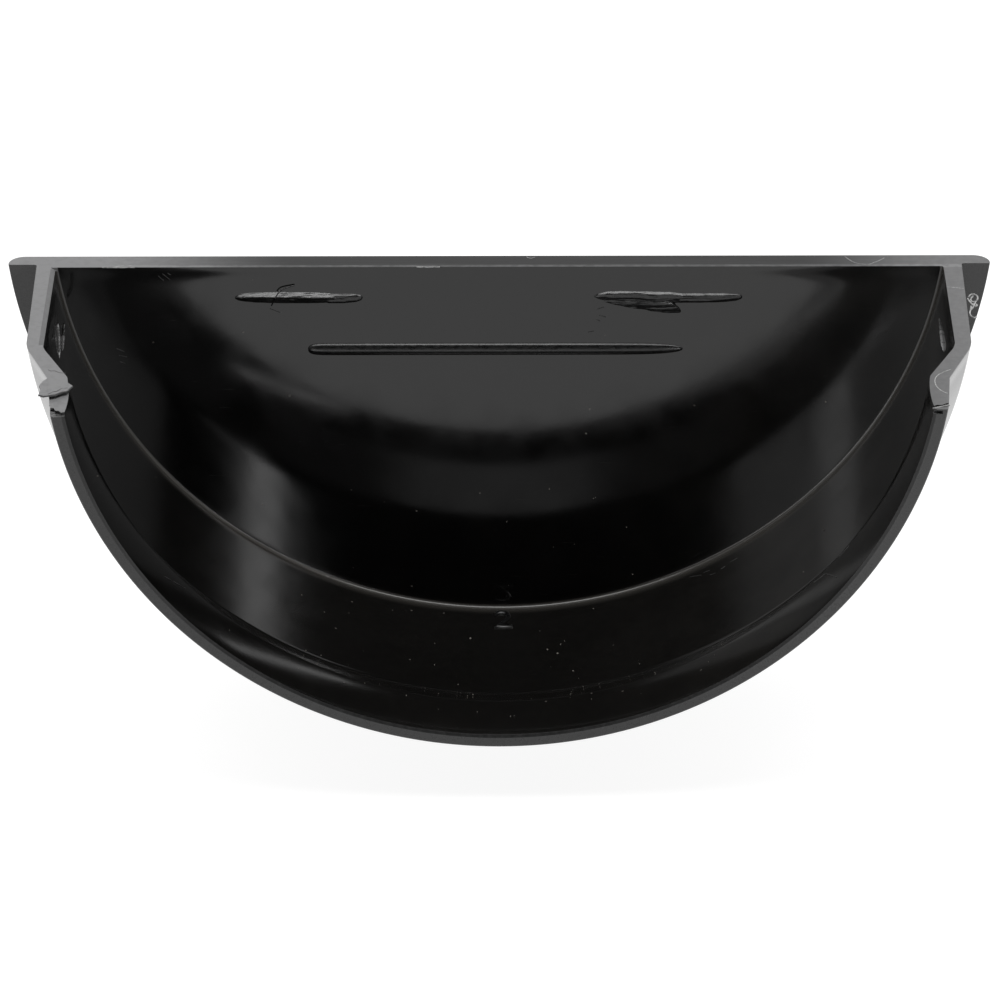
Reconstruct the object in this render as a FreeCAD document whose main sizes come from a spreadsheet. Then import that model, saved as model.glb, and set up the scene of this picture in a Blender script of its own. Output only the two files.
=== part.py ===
"""Half-round gutter end cap: one black plastic moulding, in millimetres.

+X runs across the gutter, +Y points out through the end plate and +Z is up.
The origin is the middle of the straight top edge, on the front face of the flange,
where the cut end of the gutter stops. The skirt that slides into the gutter runs towards -Y.
"""
import FreeCAD, Part
import math
import os
import Sketcher

NODE = "end_cap"
ROOT, VERTICAL = range(-1, -3, -1)    # a sketch's origin and its vertical axis
START, END, CENTRE = range(1, 4)      # the points of a line or an arc
MARGIN = 1.0                          # how far a cutting outline reaches past the solid
SAME = 1e-4                           # two lengths closer than this are equal

doc = FreeCAD.newDocument("GutterEndCap")

# Driving dimensions
SIZES = [
    ("axis_height", 7.35, "height of the round's axis above the cut top edge"),
    ("flange_radius", 59.4, "outline of the end plate"),
    ("flange_thickness", 2.3, "end plate, from the gutter's stop to the outside"),
    ("flange_edge_radius", 2.0, "rounded outer edge of the end plate"),
    ("plate_step", 0.8, "how far the plate's inside stands in front of the gutter's stop"),
    ("wall_radius", 56.0, "outside of the skirt beside the plate"),
    ("wall_thickness", 2.2, "skirt wall beside the plate"),
    ("wall_draft", 0.3, "how much the wall's outside narrows from the plate to the bend"),
    ("skirt_depth", 38.8, "from the gutter's stop to the front of the rim"),
    ("bend_start", 22.1, "from the gutter's stop to the inward bend, inside"),
    ("bend_length", 8.4, "length of the sloping wall between the two bends"),
    ("bend_lag", 0.5, "how much later the outside bends than the inside"),
    ("rim_radius", 52.0, "outside of the rim at its front edge"),
    ("rim_thickness", 1.6, "rim wall at its front edge"),
    ("rim_lead", 0.6, "taper of the rim's outside, which leads it into the gutter"),
    ("corner_radius", 1.0, "inside corner between plate and skirt"),
    ("bend_outside_radius", 4.0, "round of the first bend, outside"),
    ("bend_inside_radius", 1.0, "round of the first bend, inside"),
    ("rim_bend_radius", 1.2, "round of the second bend, both sides"),
    ("rim_edge_radius", 0.3, "edges of the rim's front face"),
    ("rib_length", 45.0, "long low rib across the plate's inside"),
    ("rib_width", 1.5, "the rib, up and down"),
    ("rib_height", 0.6, "how far the rib stands out of the plate"),
    ("rib_crest_radius", 0.4, "rounded crest of the rib"),
    ("rib_drop", 11.0, "from the top edge down to the rib's middle"),
    ("rib_offset", -0.5, "the rib's middle, across"),
    ("stub_drop", 4.1, "from the top edge down to the trimmed stubs"),
    ("stub_width", 1.5, "trimmed stubs, up and down"),
    ("stub_height", 0.5, "how far the trimmed stubs stand out"),
    ("stub_crest", 0.65, "width of the trimmed stubs at their crest"),
    ("left_stub_length", 15.2, "trimmed stub on the plate, left"),
    ("left_stub_offset", 24.1, "its middle, from the middle of the plate"),
    ("right_stub_length", 17.8, "trimmed stub on the plate, right"),
    ("right_stub_offset", 20.3, "its middle, from the middle of the plate"),
    ("wall_stub_length", 9.3, "trimmed stubs on the two side walls"),
    ("wall_stub_depth", 11.0, "their middle, from the gutter's stop"),
    ("tear_length", 3.7, "torn end of the left rim, along its outside"),
    ("tear_slant", 2.7, "how much further the tear reaches along the inside"),
    ("tear_depth", 0.8, "how much lower the torn end lies"),
    ("chip_length", 1.6, "chipped corner of the right rim, along its outside"),
    ("chip_slant", -1.2, "how much further the chip reaches along the inside"),
    ("chip_depth", 0.6, "how much lower the chipped corner lies"),
]
sheet = doc.addObject("Spreadsheet::Sheet", "Sizes")
for row, (alias, value, meaning) in enumerate(SIZES, start=1):
    sheet.set(f"A{row}", meaning)
    sheet.set(f"B{row}", str(value))
    sheet.setAlias(f"B{row}", alias)
doc.recompute()


def size(alias):
    return float(sheet.get(alias))


def vector(x, y):
    return FreeCAD.Vector(x, y, 0)


# Lengths that follow from the driving dimensions
wall_inside = size("wall_radius") - size("wall_thickness")
bend_radius = size("wall_radius") - size("wall_draft")
bend_end = size("bend_start") + size("bend_length")
rim_inside = size("rim_radius") - size("rim_thickness")
rim_root = size("rim_radius") + size("rim_lead")

body = doc.addObject("PartDesign::Body", "EndCap")
body.Label = NODE


def sketch_on(plane_role, name, offset=None):
    """A new sketch on one of the body's own planes, at a distance given by a formula."""
    plane = [feature for feature in body.Origin.OriginFeatures if feature.Role == plane_role][0]
    sketch = body.newObject("Sketcher::SketchObject", name)
    sketch.AttachmentSupport = (plane, [""])
    sketch.MapMode = "FlatFace"
    if offset:
        sketch.setExpression("AttachmentOffset.Base.z", offset)
    return sketch


def add_outline(sketch, corners):
    """A closed outline of straight lines. Line number n starts at corner number n."""
    lines = []
    for index, corner in enumerate(corners):
        following = corners[(index + 1) % len(corners)]
        lines.append(sketch.addGeometry(Part.LineSegment(vector(*corner), vector(*following)), False))
    for index, line in enumerate(lines):
        following = lines[(index + 1) % len(lines)]
        sketch.addConstraint(Sketcher.Constraint("Coincident", line, END, following, START))
    return lines


def bind(sketch, name, formula, *constraint):
    """A named dimension that follows the sheet."""
    index = sketch.addConstraint(Sketcher.Constraint(*constraint))
    sketch.renameConstraint(index, name)
    sketch.setExpression(f"Constraints.{name}", formula)


# Section through the moulding: plate, flange, skirt, bend and rim in one outline
def draw_section(sketch):
    axis_z = size("axis_height")
    corners = [(-size("plate_step"), axis_z),
               (-size("plate_step"), axis_z - wall_inside),
               (-size("bend_start"), axis_z - wall_inside),
               (-bend_end, axis_z - rim_inside),
               (-size("skirt_depth"), axis_z - rim_inside),
               (-size("skirt_depth"), axis_z - size("rim_radius")),
               (-bend_end - size("bend_lag"), axis_z - rim_root),
               (-size("bend_start") - size("bend_lag"), axis_z - bend_radius),
               (0, axis_z - size("wall_radius")),
               (0, axis_z - size("flange_radius")),
               (size("flange_thickness"), axis_z - size("flange_radius")),
               (size("flange_thickness"), axis_z)]
    (plate, wall_inner, slope_inner, rim_inner, front, rim_outer, slope_outer,
     wall_outer, stop, flange_edge, back, middle) = add_outline(sketch, corners)
    axis_end = size("skirt_depth")
    axis = sketch.addGeometry(Part.LineSegment(vector(0, axis_z), vector(axis_end, axis_z)), True)

    for line in (wall_inner, rim_inner, flange_edge, axis):
        sketch.addConstraint(Sketcher.Constraint("Horizontal", line))
    for line in (plate, front, stop, back):
        sketch.addConstraint(Sketcher.Constraint("Vertical", line))
    sketch.addConstraint(Sketcher.Constraint("PointOnObject", axis, START, VERTICAL))
    sketch.addConstraint(Sketcher.Constraint("PointOnObject", plate, START, axis))
    sketch.addConstraint(Sketcher.Constraint("PointOnObject", middle, START, axis))
    sketch.addConstraint(Sketcher.Constraint("PointOnObject", stop, START, VERTICAL))

    def radius(name, formula, line):
        value = axis_z - sketch.getPoint(line, START).y
        bind(sketch, name, formula, "DistanceY", line, START, axis, START, value)

    def depth(name, formula, line):
        value = -sketch.getPoint(line, START).x
        bind(sketch, name, formula, "DistanceX", line, START, ROOT, START, value)

    bind(sketch, "axis_above_edge", "Sizes.axis_height", "DistanceY", ROOT, START, axis, START, axis_z)
    bind(sketch, "axis_length", "Sizes.skirt_depth", "DistanceX", axis, START, axis, END, axis_end)
    radius("inside_radius", "Sizes.wall_radius - Sizes.wall_thickness", wall_inner)
    radius("rim_inside_radius", "Sizes.rim_radius - Sizes.rim_thickness", rim_inner)
    radius("rim_front_radius", "Sizes.rim_radius", rim_outer)
    radius("rim_root_radius", "Sizes.rim_radius + Sizes.rim_lead", slope_outer)
    radius("bend_radius", "Sizes.wall_radius - Sizes.wall_draft", wall_outer)
    radius("outside_radius", "Sizes.wall_radius", stop)
    radius("plate_radius", "Sizes.flange_radius", flange_edge)
    depth("step", "Sizes.plate_step", plate)
    depth("bend_inside", "Sizes.bend_start", slope_inner)
    depth("bend_inside_end", "Sizes.bend_start + Sizes.bend_length", rim_inner)
    depth("skirt_length", "Sizes.skirt_depth", front)
    depth("bend_outside_end", "Sizes.bend_start + Sizes.bend_length + Sizes.bend_lag", slope_outer)
    depth("bend_outside", "Sizes.bend_start + Sizes.bend_lag", wall_outer)
    bind(sketch, "thickness", "Sizes.flange_thickness",
         "DistanceX", ROOT, START, back, START, size("flange_thickness"))


section = sketch_on("YZ_Plane", "Section")
draw_section(section)
moulding = body.newObject("PartDesign::Revolution", "Moulding")
moulding.Profile = section
moulding.ReferenceAxis = (section, ["Axis0"])
moulding.Angle = 180
moulding.Midplane = True
doc.recompute()


# Rounds: each one takes the round edge at a given radius and depth of the turned section
def edge_at(shape, radius, depth):
    for index, edge in enumerate(shape.Edges, start=1):
        if not isinstance(edge.Curve, Part.Circle):
            continue
        same_radius = math.isclose(edge.Curve.Radius, radius, abs_tol=SAME)
        if same_radius and math.isclose(edge.Curve.Center.y, -depth, abs_tol=SAME):
            return f"Edge{index}"
    raise ValueError(f"no round edge of radius {radius} at depth {depth}")


def add_fillet(name, formula, edges):
    base = body.Tip
    fillet = body.newObject("PartDesign::Fillet", name)
    fillet.Base = (base, edges)
    fillet.setExpression("Radius", formula)
    doc.recompute()


def add_round(name, formula, places):
    add_fillet(name, formula, [edge_at(body.Tip.Shape, radius, depth) for radius, depth in places])


add_round("FlangeRound", "min(Sizes.flange_edge_radius; 0.9 * Sizes.flange_thickness)",
          [(size("flange_radius"), -size("flange_thickness"))])
add_round("CornerRound", "Sizes.corner_radius", [(wall_inside, size("plate_step"))])
add_round("BendOutside", "Sizes.bend_outside_radius",
          [(bend_radius, size("bend_start") + size("bend_lag"))])
add_round("BendInside", "Sizes.bend_inside_radius", [(wall_inside, size("bend_start"))])
add_round("RimRoot", "Sizes.rim_bend_radius",
          [(rim_inside, bend_end), (rim_root, bend_end + size("bend_lag"))])
add_round("RimEdges", "min(Sizes.rim_edge_radius; 0.4 * Sizes.rim_thickness)",
          [(rim_inside, size("skirt_depth")), (size("rim_radius"), size("skirt_depth"))])


# Flat top: everything above the top edge is cut away
def draw_top_cut(sketch):
    half = size("flange_radius") + MARGIN
    front = -size("skirt_depth") - MARGIN
    back = size("flange_thickness") + MARGIN
    half_formula = f"Sizes.flange_radius + {MARGIN}"
    lines = add_outline(sketch, [(-half, front), (half, front), (half, back), (-half, back)])
    for line in lines[0::2]:
        sketch.addConstraint(Sketcher.Constraint("Horizontal", line))
    for line in lines[1::2]:
        sketch.addConstraint(Sketcher.Constraint("Vertical", line))
    bind(sketch, "left", half_formula, "DistanceX", lines[0], START, ROOT, START, half)
    bind(sketch, "right", half_formula, "DistanceX", ROOT, START, lines[1], START, half)
    bind(sketch, "front", f"Sizes.skirt_depth + {MARGIN}",
         "DistanceY", lines[0], START, ROOT, START, -front)
    bind(sketch, "back", f"Sizes.flange_thickness + {MARGIN}",
         "DistanceY", ROOT, START, lines[2], START, back)


def add_pocket(name, sketch, formula, upwards):
    """Cuts the sketch's outline out, up or down, and makes sure that it took something away."""
    before = body.Tip.Shape.Volume
    pocket = body.newObject("PartDesign::Pocket", name)
    pocket.Profile = sketch
    pocket.Reversed = upwards
    pocket.setExpression("Length", formula)
    doc.recompute()
    if body.Tip.Shape.Volume >= before:
        raise ValueError(f"{name} cuts nothing")


top_cut = sketch_on("XY_Plane", "TopCutOutline")
draw_top_cut(top_cut)
add_pocket("TopCut", top_cut, "Sizes.flange_radius + Sizes.axis_height", upwards=True)


# Low rib with round ends across the inside of the plate
def draw_rib(sketch):
    half = size("rib_length") / 2 - size("rib_width") / 2
    end_radius = size("rib_width") / 2
    x = size("rib_offset")
    z = -size("rib_drop")
    top_z = z + end_radius
    bottom_z = z - end_radius
    towards_viewer = FreeCAD.Vector(0, 0, 1)
    left_round = Part.Circle(vector(x - half, z), towards_viewer, end_radius)
    right_round = Part.Circle(vector(x + half, z), towards_viewer, end_radius)
    quarter = math.pi / 2
    top_line = Part.LineSegment(vector(x + half, top_z), vector(x - half, top_z))
    bottom_line = Part.LineSegment(vector(x - half, bottom_z), vector(x + half, bottom_z))
    top = sketch.addGeometry(top_line, False)
    bottom = sketch.addGeometry(bottom_line, False)
    left = sketch.addGeometry(Part.ArcOfCircle(left_round, quarter, 3 * quarter), False)
    right = sketch.addGeometry(Part.ArcOfCircle(right_round, -quarter, quarter), False)
    for first, second in ((top, left), (left, bottom), (bottom, right), (right, top)):
        sketch.addConstraint(Sketcher.Constraint("Tangent", first, END, second, START))
    sketch.addConstraint(Sketcher.Constraint("Horizontal", top))
    sketch.addConstraint(Sketcher.Constraint("Equal", left, right))
    bind(sketch, "end_radius", "Sizes.rib_width / 2", "Radius", left, end_radius)
    bind(sketch, "straight", "Sizes.rib_length - Sizes.rib_width",
         "DistanceX", left, CENTRE, right, CENTRE, 2 * half)
    bind(sketch, "drop", "Sizes.rib_drop", "DistanceY", left, CENTRE, ROOT, START, -z)
    bind(sketch, "left_end", "(Sizes.rib_length - Sizes.rib_width) / 2 - Sizes.rib_offset",
         "DistanceX", left, CENTRE, ROOT, START, half - x)


# Stub with pointed ends, left where a tab was trimmed off: two shallow arcs on one chord
def draw_stub(sketch, middle, length, middle_formula, length_formula):
    z = -size("stub_drop")
    sag = size("stub_width") / 2
    bow = (length ** 2 / 4 + sag ** 2) / (2 * sag)
    left, right = vector(middle - length / 2, z), vector(middle + length / 2, z)
    upper = sketch.addGeometry(Part.Arc(right, vector(middle, z + sag), left), False)
    lower = sketch.addGeometry(Part.Arc(left, vector(middle, z - sag), right), False)
    sketch.addConstraint(Sketcher.Constraint("Coincident", upper, END, lower, START))
    sketch.addConstraint(Sketcher.Constraint("Coincident", lower, END, upper, START))
    bow_formula = f"({length_formula} ^ 2 / 4 + Sizes.stub_width ^ 2 / 4) / Sizes.stub_width"
    bind(sketch, "upper_bow", bow_formula, "Radius", upper, bow)
    bind(sketch, "lower_bow", bow_formula, "Radius", lower, bow)
    bind(sketch, "chord", length_formula, "DistanceX", upper, END, upper, START, length)
    bind(sketch, "left_drop", "Sizes.stub_drop", "DistanceY", upper, END, ROOT, START, -z)
    bind(sketch, "right_drop", "Sizes.stub_drop", "DistanceY", upper, START, ROOT, START, -z)
    if middle < length / 2:
        bind(sketch, "left_end", f"{length_formula} / 2 - ({middle_formula})",
             "DistanceX", upper, END, ROOT, START, length / 2 - middle)
    else:
        bind(sketch, "left_end", f"{middle_formula} - {length_formula} / 2",
             "DistanceX", ROOT, START, upper, END, middle - length / 2)


def add_pad(name, sketch, formula, slope=None, reverse=False):
    """Raises the sketch's outline by a formula, with sides that lean in by an optional slope."""
    before = body.Tip.Shape.Volume
    pad = body.newObject("PartDesign::Pad", name)
    pad.Profile = sketch
    pad.Reversed = reverse
    pad.setExpression("Length", formula)
    if slope:
        pad.setExpression("TaperAngle", slope)
    doc.recompute()
    if body.Tip.Shape.Volume <= before:
        raise ValueError(f"{name} adds nothing")


def crest_edges(shape, depth):
    """All edges that lie on the plane at this depth."""
    return [f"Edge{index}" for index, edge in enumerate(shape.Edges, start=1)
            if all(math.isclose(vertex.Y, -depth, abs_tol=SAME) for vertex in edge.Vertexes)]


rib = sketch_on("XZ_Plane", "RibOutline")
draw_rib(rib)
add_pad("Rib", rib, "Sizes.plate_step + Sizes.rib_height")
add_fillet("RibCrest", "min(Sizes.rib_crest_radius; 0.45 * Sizes.rib_width; 0.9 * Sizes.rib_height)",
           crest_edges(body.Tip.Shape, size("plate_step") + size("rib_height")))

# The stubs lean in from the plate's inside, so their outlines lie on that face
STUB_SLOPE = "-atan((Sizes.stub_width - Sizes.stub_crest) / 2 / Sizes.stub_height)"
left_stub = sketch_on("XZ_Plane", "LeftStubOutline", "Sizes.plate_step")
draw_stub(left_stub, -size("left_stub_offset"), size("left_stub_length"),
          "-Sizes.left_stub_offset", "Sizes.left_stub_length")
add_pad("LeftStub", left_stub, "Sizes.stub_height", STUB_SLOPE)

right_stub = sketch_on("XZ_Plane", "RightStubOutline", "Sizes.plate_step")
draw_stub(right_stub, size("right_stub_offset"), size("right_stub_length"),
          "Sizes.right_stub_offset", "Sizes.right_stub_length")
add_pad("RightStub", right_stub, "Sizes.stub_height", STUB_SLOPE)

# The same stubs on the side walls stand on the wall's inside at their own height
WALL_FACE = ("sqrt((Sizes.wall_radius - Sizes.wall_thickness) ^ 2"
             " - (Sizes.axis_height + Sizes.stub_drop) ^ 2)")
for side, sign in (("Right", ""), ("Left", "-")):
    outline = sketch_on("YZ_Plane", f"{side}WallStubOutline",
                        f"{sign}({WALL_FACE} - Sizes.stub_height)")
    draw_stub(outline, -size("wall_stub_depth"), size("wall_stub_length"),
              "-Sizes.wall_stub_depth", "Sizes.wall_stub_length")
    add_pad(f"{side}WallStub", outline, "Sizes.stub_height + Sizes.wall_thickness / 2",
            reverse=(side == "Left"))


# Damaged ends of the rim: torn on the left and chipped on the right, both lower than the cut top edge
def draw_damage(sketch, kind, side):
    """The outline of the lowered end. side is -1 on the left and 1 on the right."""
    outside = size("rim_radius") + size("rim_lead") + MARGIN
    inside = rim_inside - 2 * MARGIN
    front = -size("skirt_depth") - MARGIN
    outer_end = -size("skirt_depth") + size(f"{kind}_length")
    inner_end = outer_end + size(f"{kind}_slant")
    lines = add_outline(sketch, [(side * outside, front), (side * inside, front),
                                 (side * inside, inner_end), (side * outside, outer_end)])
    edge, inner, slant, outer = lines
    sketch.addConstraint(Sketcher.Constraint("Horizontal", edge))
    sketch.addConstraint(Sketcher.Constraint("Vertical", inner))
    sketch.addConstraint(Sketcher.Constraint("Vertical", outer))

    def across(name, formula, line, value):
        points = (ROOT, START, line, START) if side > 0 else (line, START, ROOT, START)
        bind(sketch, name, formula, "DistanceX", *points, value)

    def depth(name, formula, line, value):
        bind(sketch, name, formula, "DistanceY", line, START, ROOT, START, value)

    across("outside", f"Sizes.rim_radius + Sizes.rim_lead + {MARGIN}", edge, outside)
    across("inside", f"Sizes.rim_radius - Sizes.rim_thickness - {2 * MARGIN}", inner, inside)
    depth("front", f"Sizes.skirt_depth + {MARGIN}", edge, -front)
    depth("outer_end", f"Sizes.skirt_depth - Sizes.{kind}_length", outer, -outer_end)
    depth("inner_end", f"Sizes.skirt_depth - Sizes.{kind}_length - Sizes.{kind}_slant", slant, -inner_end)


for name, kind, side in (("Tear", "tear", -1), ("Chip", "chip", 1)):
    damage = sketch_on("XY_Plane", f"{name}Outline")
    draw_damage(damage, kind, side)
    add_pocket(name, damage, f"Sizes.{kind}_depth", upwards=False)

# Every feature must have worked before anything is written
doc.recompute()
for item in doc.Objects:
    if "Invalid" in item.State or "Error" in item.State:
        raise RuntimeError(f"{item.Name} failed: {item.State}")
shape = body.Shape
if shape.isNull() or not shape.isValid() or len(shape.Solids) != 1:
    raise RuntimeError("the end cap is not one valid solid")

os.makedirs("parts", exist_ok=True)
shape.exportStep(os.path.join("parts", f"{body.Label}.step"))
box = shape.optimalBoundingBox()
print(f"{body.Label}: {box.XLength:.2f} x {box.YLength:.2f} x {box.ZLength:.2f} mm")
print(f"volume {shape.Volume:.0f} mm3, {len(shape.Faces)} faces")
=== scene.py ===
# %% [markdown]
# Gutter end cap, dressed for its portrait.
# The cap is one black plastic moulding: a half-round end plate with a skirt that slides into the gutter.
# The imported model is loaded first. It is the fixed frame that every visual piece is fitted to,
# so its box is kept from the start.
# The flange is a disc cut off below its axis, so its radius and the height of the axis follow from the box.

# %% Load the imported model
import math
import random

import bmesh
import bpy
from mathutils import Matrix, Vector


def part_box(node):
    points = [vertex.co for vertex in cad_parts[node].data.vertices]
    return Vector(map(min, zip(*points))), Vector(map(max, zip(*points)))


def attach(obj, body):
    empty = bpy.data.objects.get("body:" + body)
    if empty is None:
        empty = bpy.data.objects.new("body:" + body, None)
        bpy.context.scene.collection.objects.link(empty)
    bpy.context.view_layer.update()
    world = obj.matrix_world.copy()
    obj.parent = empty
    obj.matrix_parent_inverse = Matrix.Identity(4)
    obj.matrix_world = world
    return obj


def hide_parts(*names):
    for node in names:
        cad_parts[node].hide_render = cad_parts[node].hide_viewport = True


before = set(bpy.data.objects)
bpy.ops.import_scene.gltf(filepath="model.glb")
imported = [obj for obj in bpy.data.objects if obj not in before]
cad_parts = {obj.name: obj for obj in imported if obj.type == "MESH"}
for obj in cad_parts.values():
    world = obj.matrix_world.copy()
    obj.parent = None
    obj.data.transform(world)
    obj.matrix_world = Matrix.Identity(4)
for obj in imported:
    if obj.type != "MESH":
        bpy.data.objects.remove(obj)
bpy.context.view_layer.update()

MM = 0.001
low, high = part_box("end_cap")
half_chord = high.x
drop = -low.z
flange_radius = (half_chord ** 2 + drop ** 2) / (2 * drop)
axis_height = flange_radius - drop
print("solid, in mm, from", [round(v / MM, 2) for v in low], "to", [round(v / MM, 2) for v in high])
print("axis", round(axis_height / MM, 2), "mm above the straight edge")

# %% [markdown]
# The camera stands in front of the open side and looks down into the trough.
# Its place and turn were worked out from points of the object in the photograph.
# A long lens far away keeps the skirt's walls nearly parallel, as they are there.


# %% Camera
def in_radians(turn):
    return tuple(math.radians(angle) for angle in turn)


CAMERA_PLACE = (1.83 * MM, -652.3 * MM, 306.8 * MM)
CAMERA_TURN = (62.554, 0.147, 0.082)
FOCAL_LENGTH = 216
SENSOR_WIDTH = 36

bpy.ops.object.camera_add(location=CAMERA_PLACE, rotation=in_radians(CAMERA_TURN))
camera = bpy.context.object
camera.name = "photo_camera"
camera.data.lens = FOCAL_LENGTH
camera.data.sensor_width = SENSOR_WIDTH
bpy.context.scene.camera = camera
bpy.context.scene.view_settings.view_transform = "Standard"
print("camera looks down by", round(90 - CAMERA_TURN[0], 1), "degrees")

# %% [markdown]
# A glossy black object is hardly seen by its own colour. It is seen by what it mirrors.
# So the stage matters: a white floor, which the end plate mirrors as a grey field,
# soft boxes, which it mirrors as bands and lines of light, and dark cards in between.
# First come a few helpers, because the floor already needs nodes.


# %% Helpers for nodes
def connect(tree, socket, value):
    """Sets a socket to a value, or links it to another node's output."""
    if isinstance(value, bpy.types.NodeSocket):
        tree.links.new(value, socket)
    else:
        socket.default_value = value


def add_node(tree, kind, *inputs, **named):
    """A new node. Its inputs are given in order or by name, as values or as other nodes' outputs."""
    node = tree.nodes.new(kind)
    for socket, value in zip(node.inputs, inputs):
        connect(tree, socket, value)
    for name, value in named.items():
        connect(tree, node.inputs[name.replace("_", " ")], value)
    return node


def calculate(tree, operation, *inputs):
    node = add_node(tree, "ShaderNodeMath", *inputs)
    node.operation = operation
    return node.outputs[0]


def product(tree, first, *others):
    for other in others:
        first = calculate(tree, "MULTIPLY", first, other)
    return first


def axes(tree, vector):
    """The three parts of a vector, to be taken by the name of the axis."""
    return add_node(tree, "ShaderNodeSeparateXYZ", vector).outputs


def fade(tree, value, start, end, first=0.0, last=1.0):
    """Goes smoothly from first, where the value is start, to last, where it is end."""
    node = add_node(tree, "ShaderNodeMapRange", value, start, end, first, last)
    node.interpolation_type = "SMOOTHSTEP"
    return node.outputs[0]


def grey(value):
    return (value, value, value, 1)


def new_material(name):
    material = bpy.data.materials.new(name)
    material.use_nodes = True
    tree = material.node_tree
    print("material:", name)
    return material, tree, tree.nodes["Principled BSDF"]


def dress(tree, shader, colour, roughness, normal=None):
    connect(tree, shader.inputs["Base Color"], colour)
    connect(tree, shader.inputs["Roughness"], roughness)
    if normal:
        connect(tree, shader.inputs["Normal"], normal)


def background_rays(tree):
    """1 for rays that show the background: seen directly, in a gloss or through glass."""
    path = tree.nodes.new("ShaderNodeLightPath")
    seen = calculate(tree, "MAXIMUM", path.outputs["Is Camera Ray"], path.outputs["Is Glossy Ray"])
    return calculate(tree, "MAXIMUM", seen, path.outputs["Is Transmission Ray"])


# %% Floor
FLOOR_RADIUS = 0.8
FLOOR_COLOUR = grey(0.25)
FLOOR_LIFT = 0.91
WHITE = grey(1.0)

bpy.ops.object.select_all(action="DESELECT")
bpy.ops.mesh.primitive_circle_add(vertices=96, radius=FLOOR_RADIUS, fill_type="NGON", location=(0, 0, low.z))
floor = bpy.context.object
floor.name = "floor"
floor_material, tree, shader = new_material("white_floor")
dress(tree, shader, FLOOR_COLOUR, 1.0)
shader.inputs["Specular IOR Level"].default_value = 0.0
shader.inputs["Emission Color"].default_value = WHITE
connect(tree, shader.inputs["Emission Strength"], product(tree, background_rays(tree), FLOOR_LIFT))
floor.data.materials.append(floor_material)
print("floor at", round(low.z / MM, 2), "mm")

# %% World
ROOM_LIGHT = 0.2

world = bpy.data.worlds.new("studio")
bpy.context.scene.world = world
world.use_nodes = True
tree = world.node_tree
tree.nodes.clear()
strength = add_node(tree, "ShaderNodeMapRange", background_rays(tree), 0.0, 1.0, ROOM_LIGHT, 1.0).outputs[0]
backdrop = add_node(tree, "ShaderNodeBackground", WHITE, strength)
add_node(tree, "ShaderNodeOutputWorld", backdrop.outputs[0])
print("white backdrop, room light", ROOM_LIGHT)

# %% [markdown]
# A soft box is an area light. It is placed by azimuth and elevation around the object,
# because a mirror image mostly depends on the direction that the light comes from.
# A dark card stands where the plastic shows deep black in the photograph.


# %% Soft boxes and dark cards
def around(azimuth, elevation, distance):
    """A place and a turn that face the object. Azimuth 0 is on the camera's side, positive to the right."""
    a = math.radians(azimuth)
    e = math.radians(elevation)
    away = Vector((math.sin(a) * math.cos(e), -math.cos(a) * math.cos(e), math.sin(e))) * distance
    target = Vector((0, low.y / 2, low.z / 2))
    return target + away, away.to_track_quat("Z", "Y").to_euler()


def soft_box(name, azimuth, elevation, distance, width, height, radiance, shape="RECTANGLE"):
    """Angles are in degrees, lengths in metres. Radiance is the brightness of its mirror image."""
    place, turn = around(azimuth, elevation, distance)
    bpy.ops.object.light_add(type="AREA", location=place, rotation=turn)
    lamp = bpy.context.object
    lamp.name = name
    lamp.data.shape = shape
    lamp.data.size = width
    lamp.data.size_y = height
    area = width * height if shape == "RECTANGLE" else width * height * math.pi / 4
    lamp.data.energy = radiance * area * math.pi


def dark_card(name, azimuth, elevation, distance, width, height):
    """The camera doesn't see it and it casts no shadow, but mirror images show it."""
    place, turn = around(azimuth, elevation, distance)
    bpy.ops.mesh.primitive_plane_add(size=1, location=place, rotation=turn)
    card = bpy.context.object
    card.name = name
    card.scale = (width, height, 1)
    card.data.materials.append(card_material)
    card.visible_camera = False
    card.visible_shadow = False


CARD_COLOUR = grey(0.02)
card_material, tree, shader = new_material("dark_card")
dress(tree, shader, CARD_COLOUR, 1.0)

soft_box("right_front", 24, 12.9, 0.9, 0.30, 0.062, 17.0)
soft_box("left_front", -27, 8, 0.9, 0.40, 0.16, 1.5)
soft_box("left_low", -27, -3.0, 0.34, 0.20, 0.05, 3.9)
soft_box("overhead", 0, 83, 0.7, 0.90, 0.27, 6.3, "ELLIPSE")
soft_box("right_rear", 140, 28, 0.5, 0.30, 0.30, 3.0)
soft_box("left_rear", -140, 28, 0.5, 0.30, 0.30, 3.5)
dark_card("card_behind_camera", 0, 39, 1.1, 3.0, 1.0)
dark_card("card_right_low", 26, 3.0, 1.0, 0.75, 0.18)
dark_card("card_front_low", 0, 9, 1.0, 0.46, 0.22)
print("6 soft boxes, 3 dark cards")

# %% [markdown]
# The plastic is black right through. Off the tool it is glossy, and what shows on it is what settled there:
# a film of dust on faces that look up, a few specks, and hairline scratches from handling.
# The other finishes each have a grain, fine or coarse, even or drawn out.
# So grain, dust and hairlines are node groups with named inputs and outputs,
# and each material places the ones that it needs with its own values.
# Places are read in millimetres, so that every pattern has its real size.


# %% Node groups for grain, dust and hairlines
def new_group(name, inputs, outputs):
    """A group with numbers or vectors as inputs, each with its first value, and numbers as outputs."""
    group = bpy.data.node_groups.new(name, "ShaderNodeTree")
    for label, value in inputs.items():
        kind = "NodeSocketVector" if isinstance(value, tuple) else "NodeSocketFloat"
        group.interface.new_socket(label, in_out="INPUT", socket_type=kind).default_value = value
    for label in outputs:
        group.interface.new_socket(label, in_out="OUTPUT", socket_type="NodeSocketFloat")
    return group, group.nodes.new("NodeGroupInput").outputs, group.nodes.new("NodeGroupOutput").inputs


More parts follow.
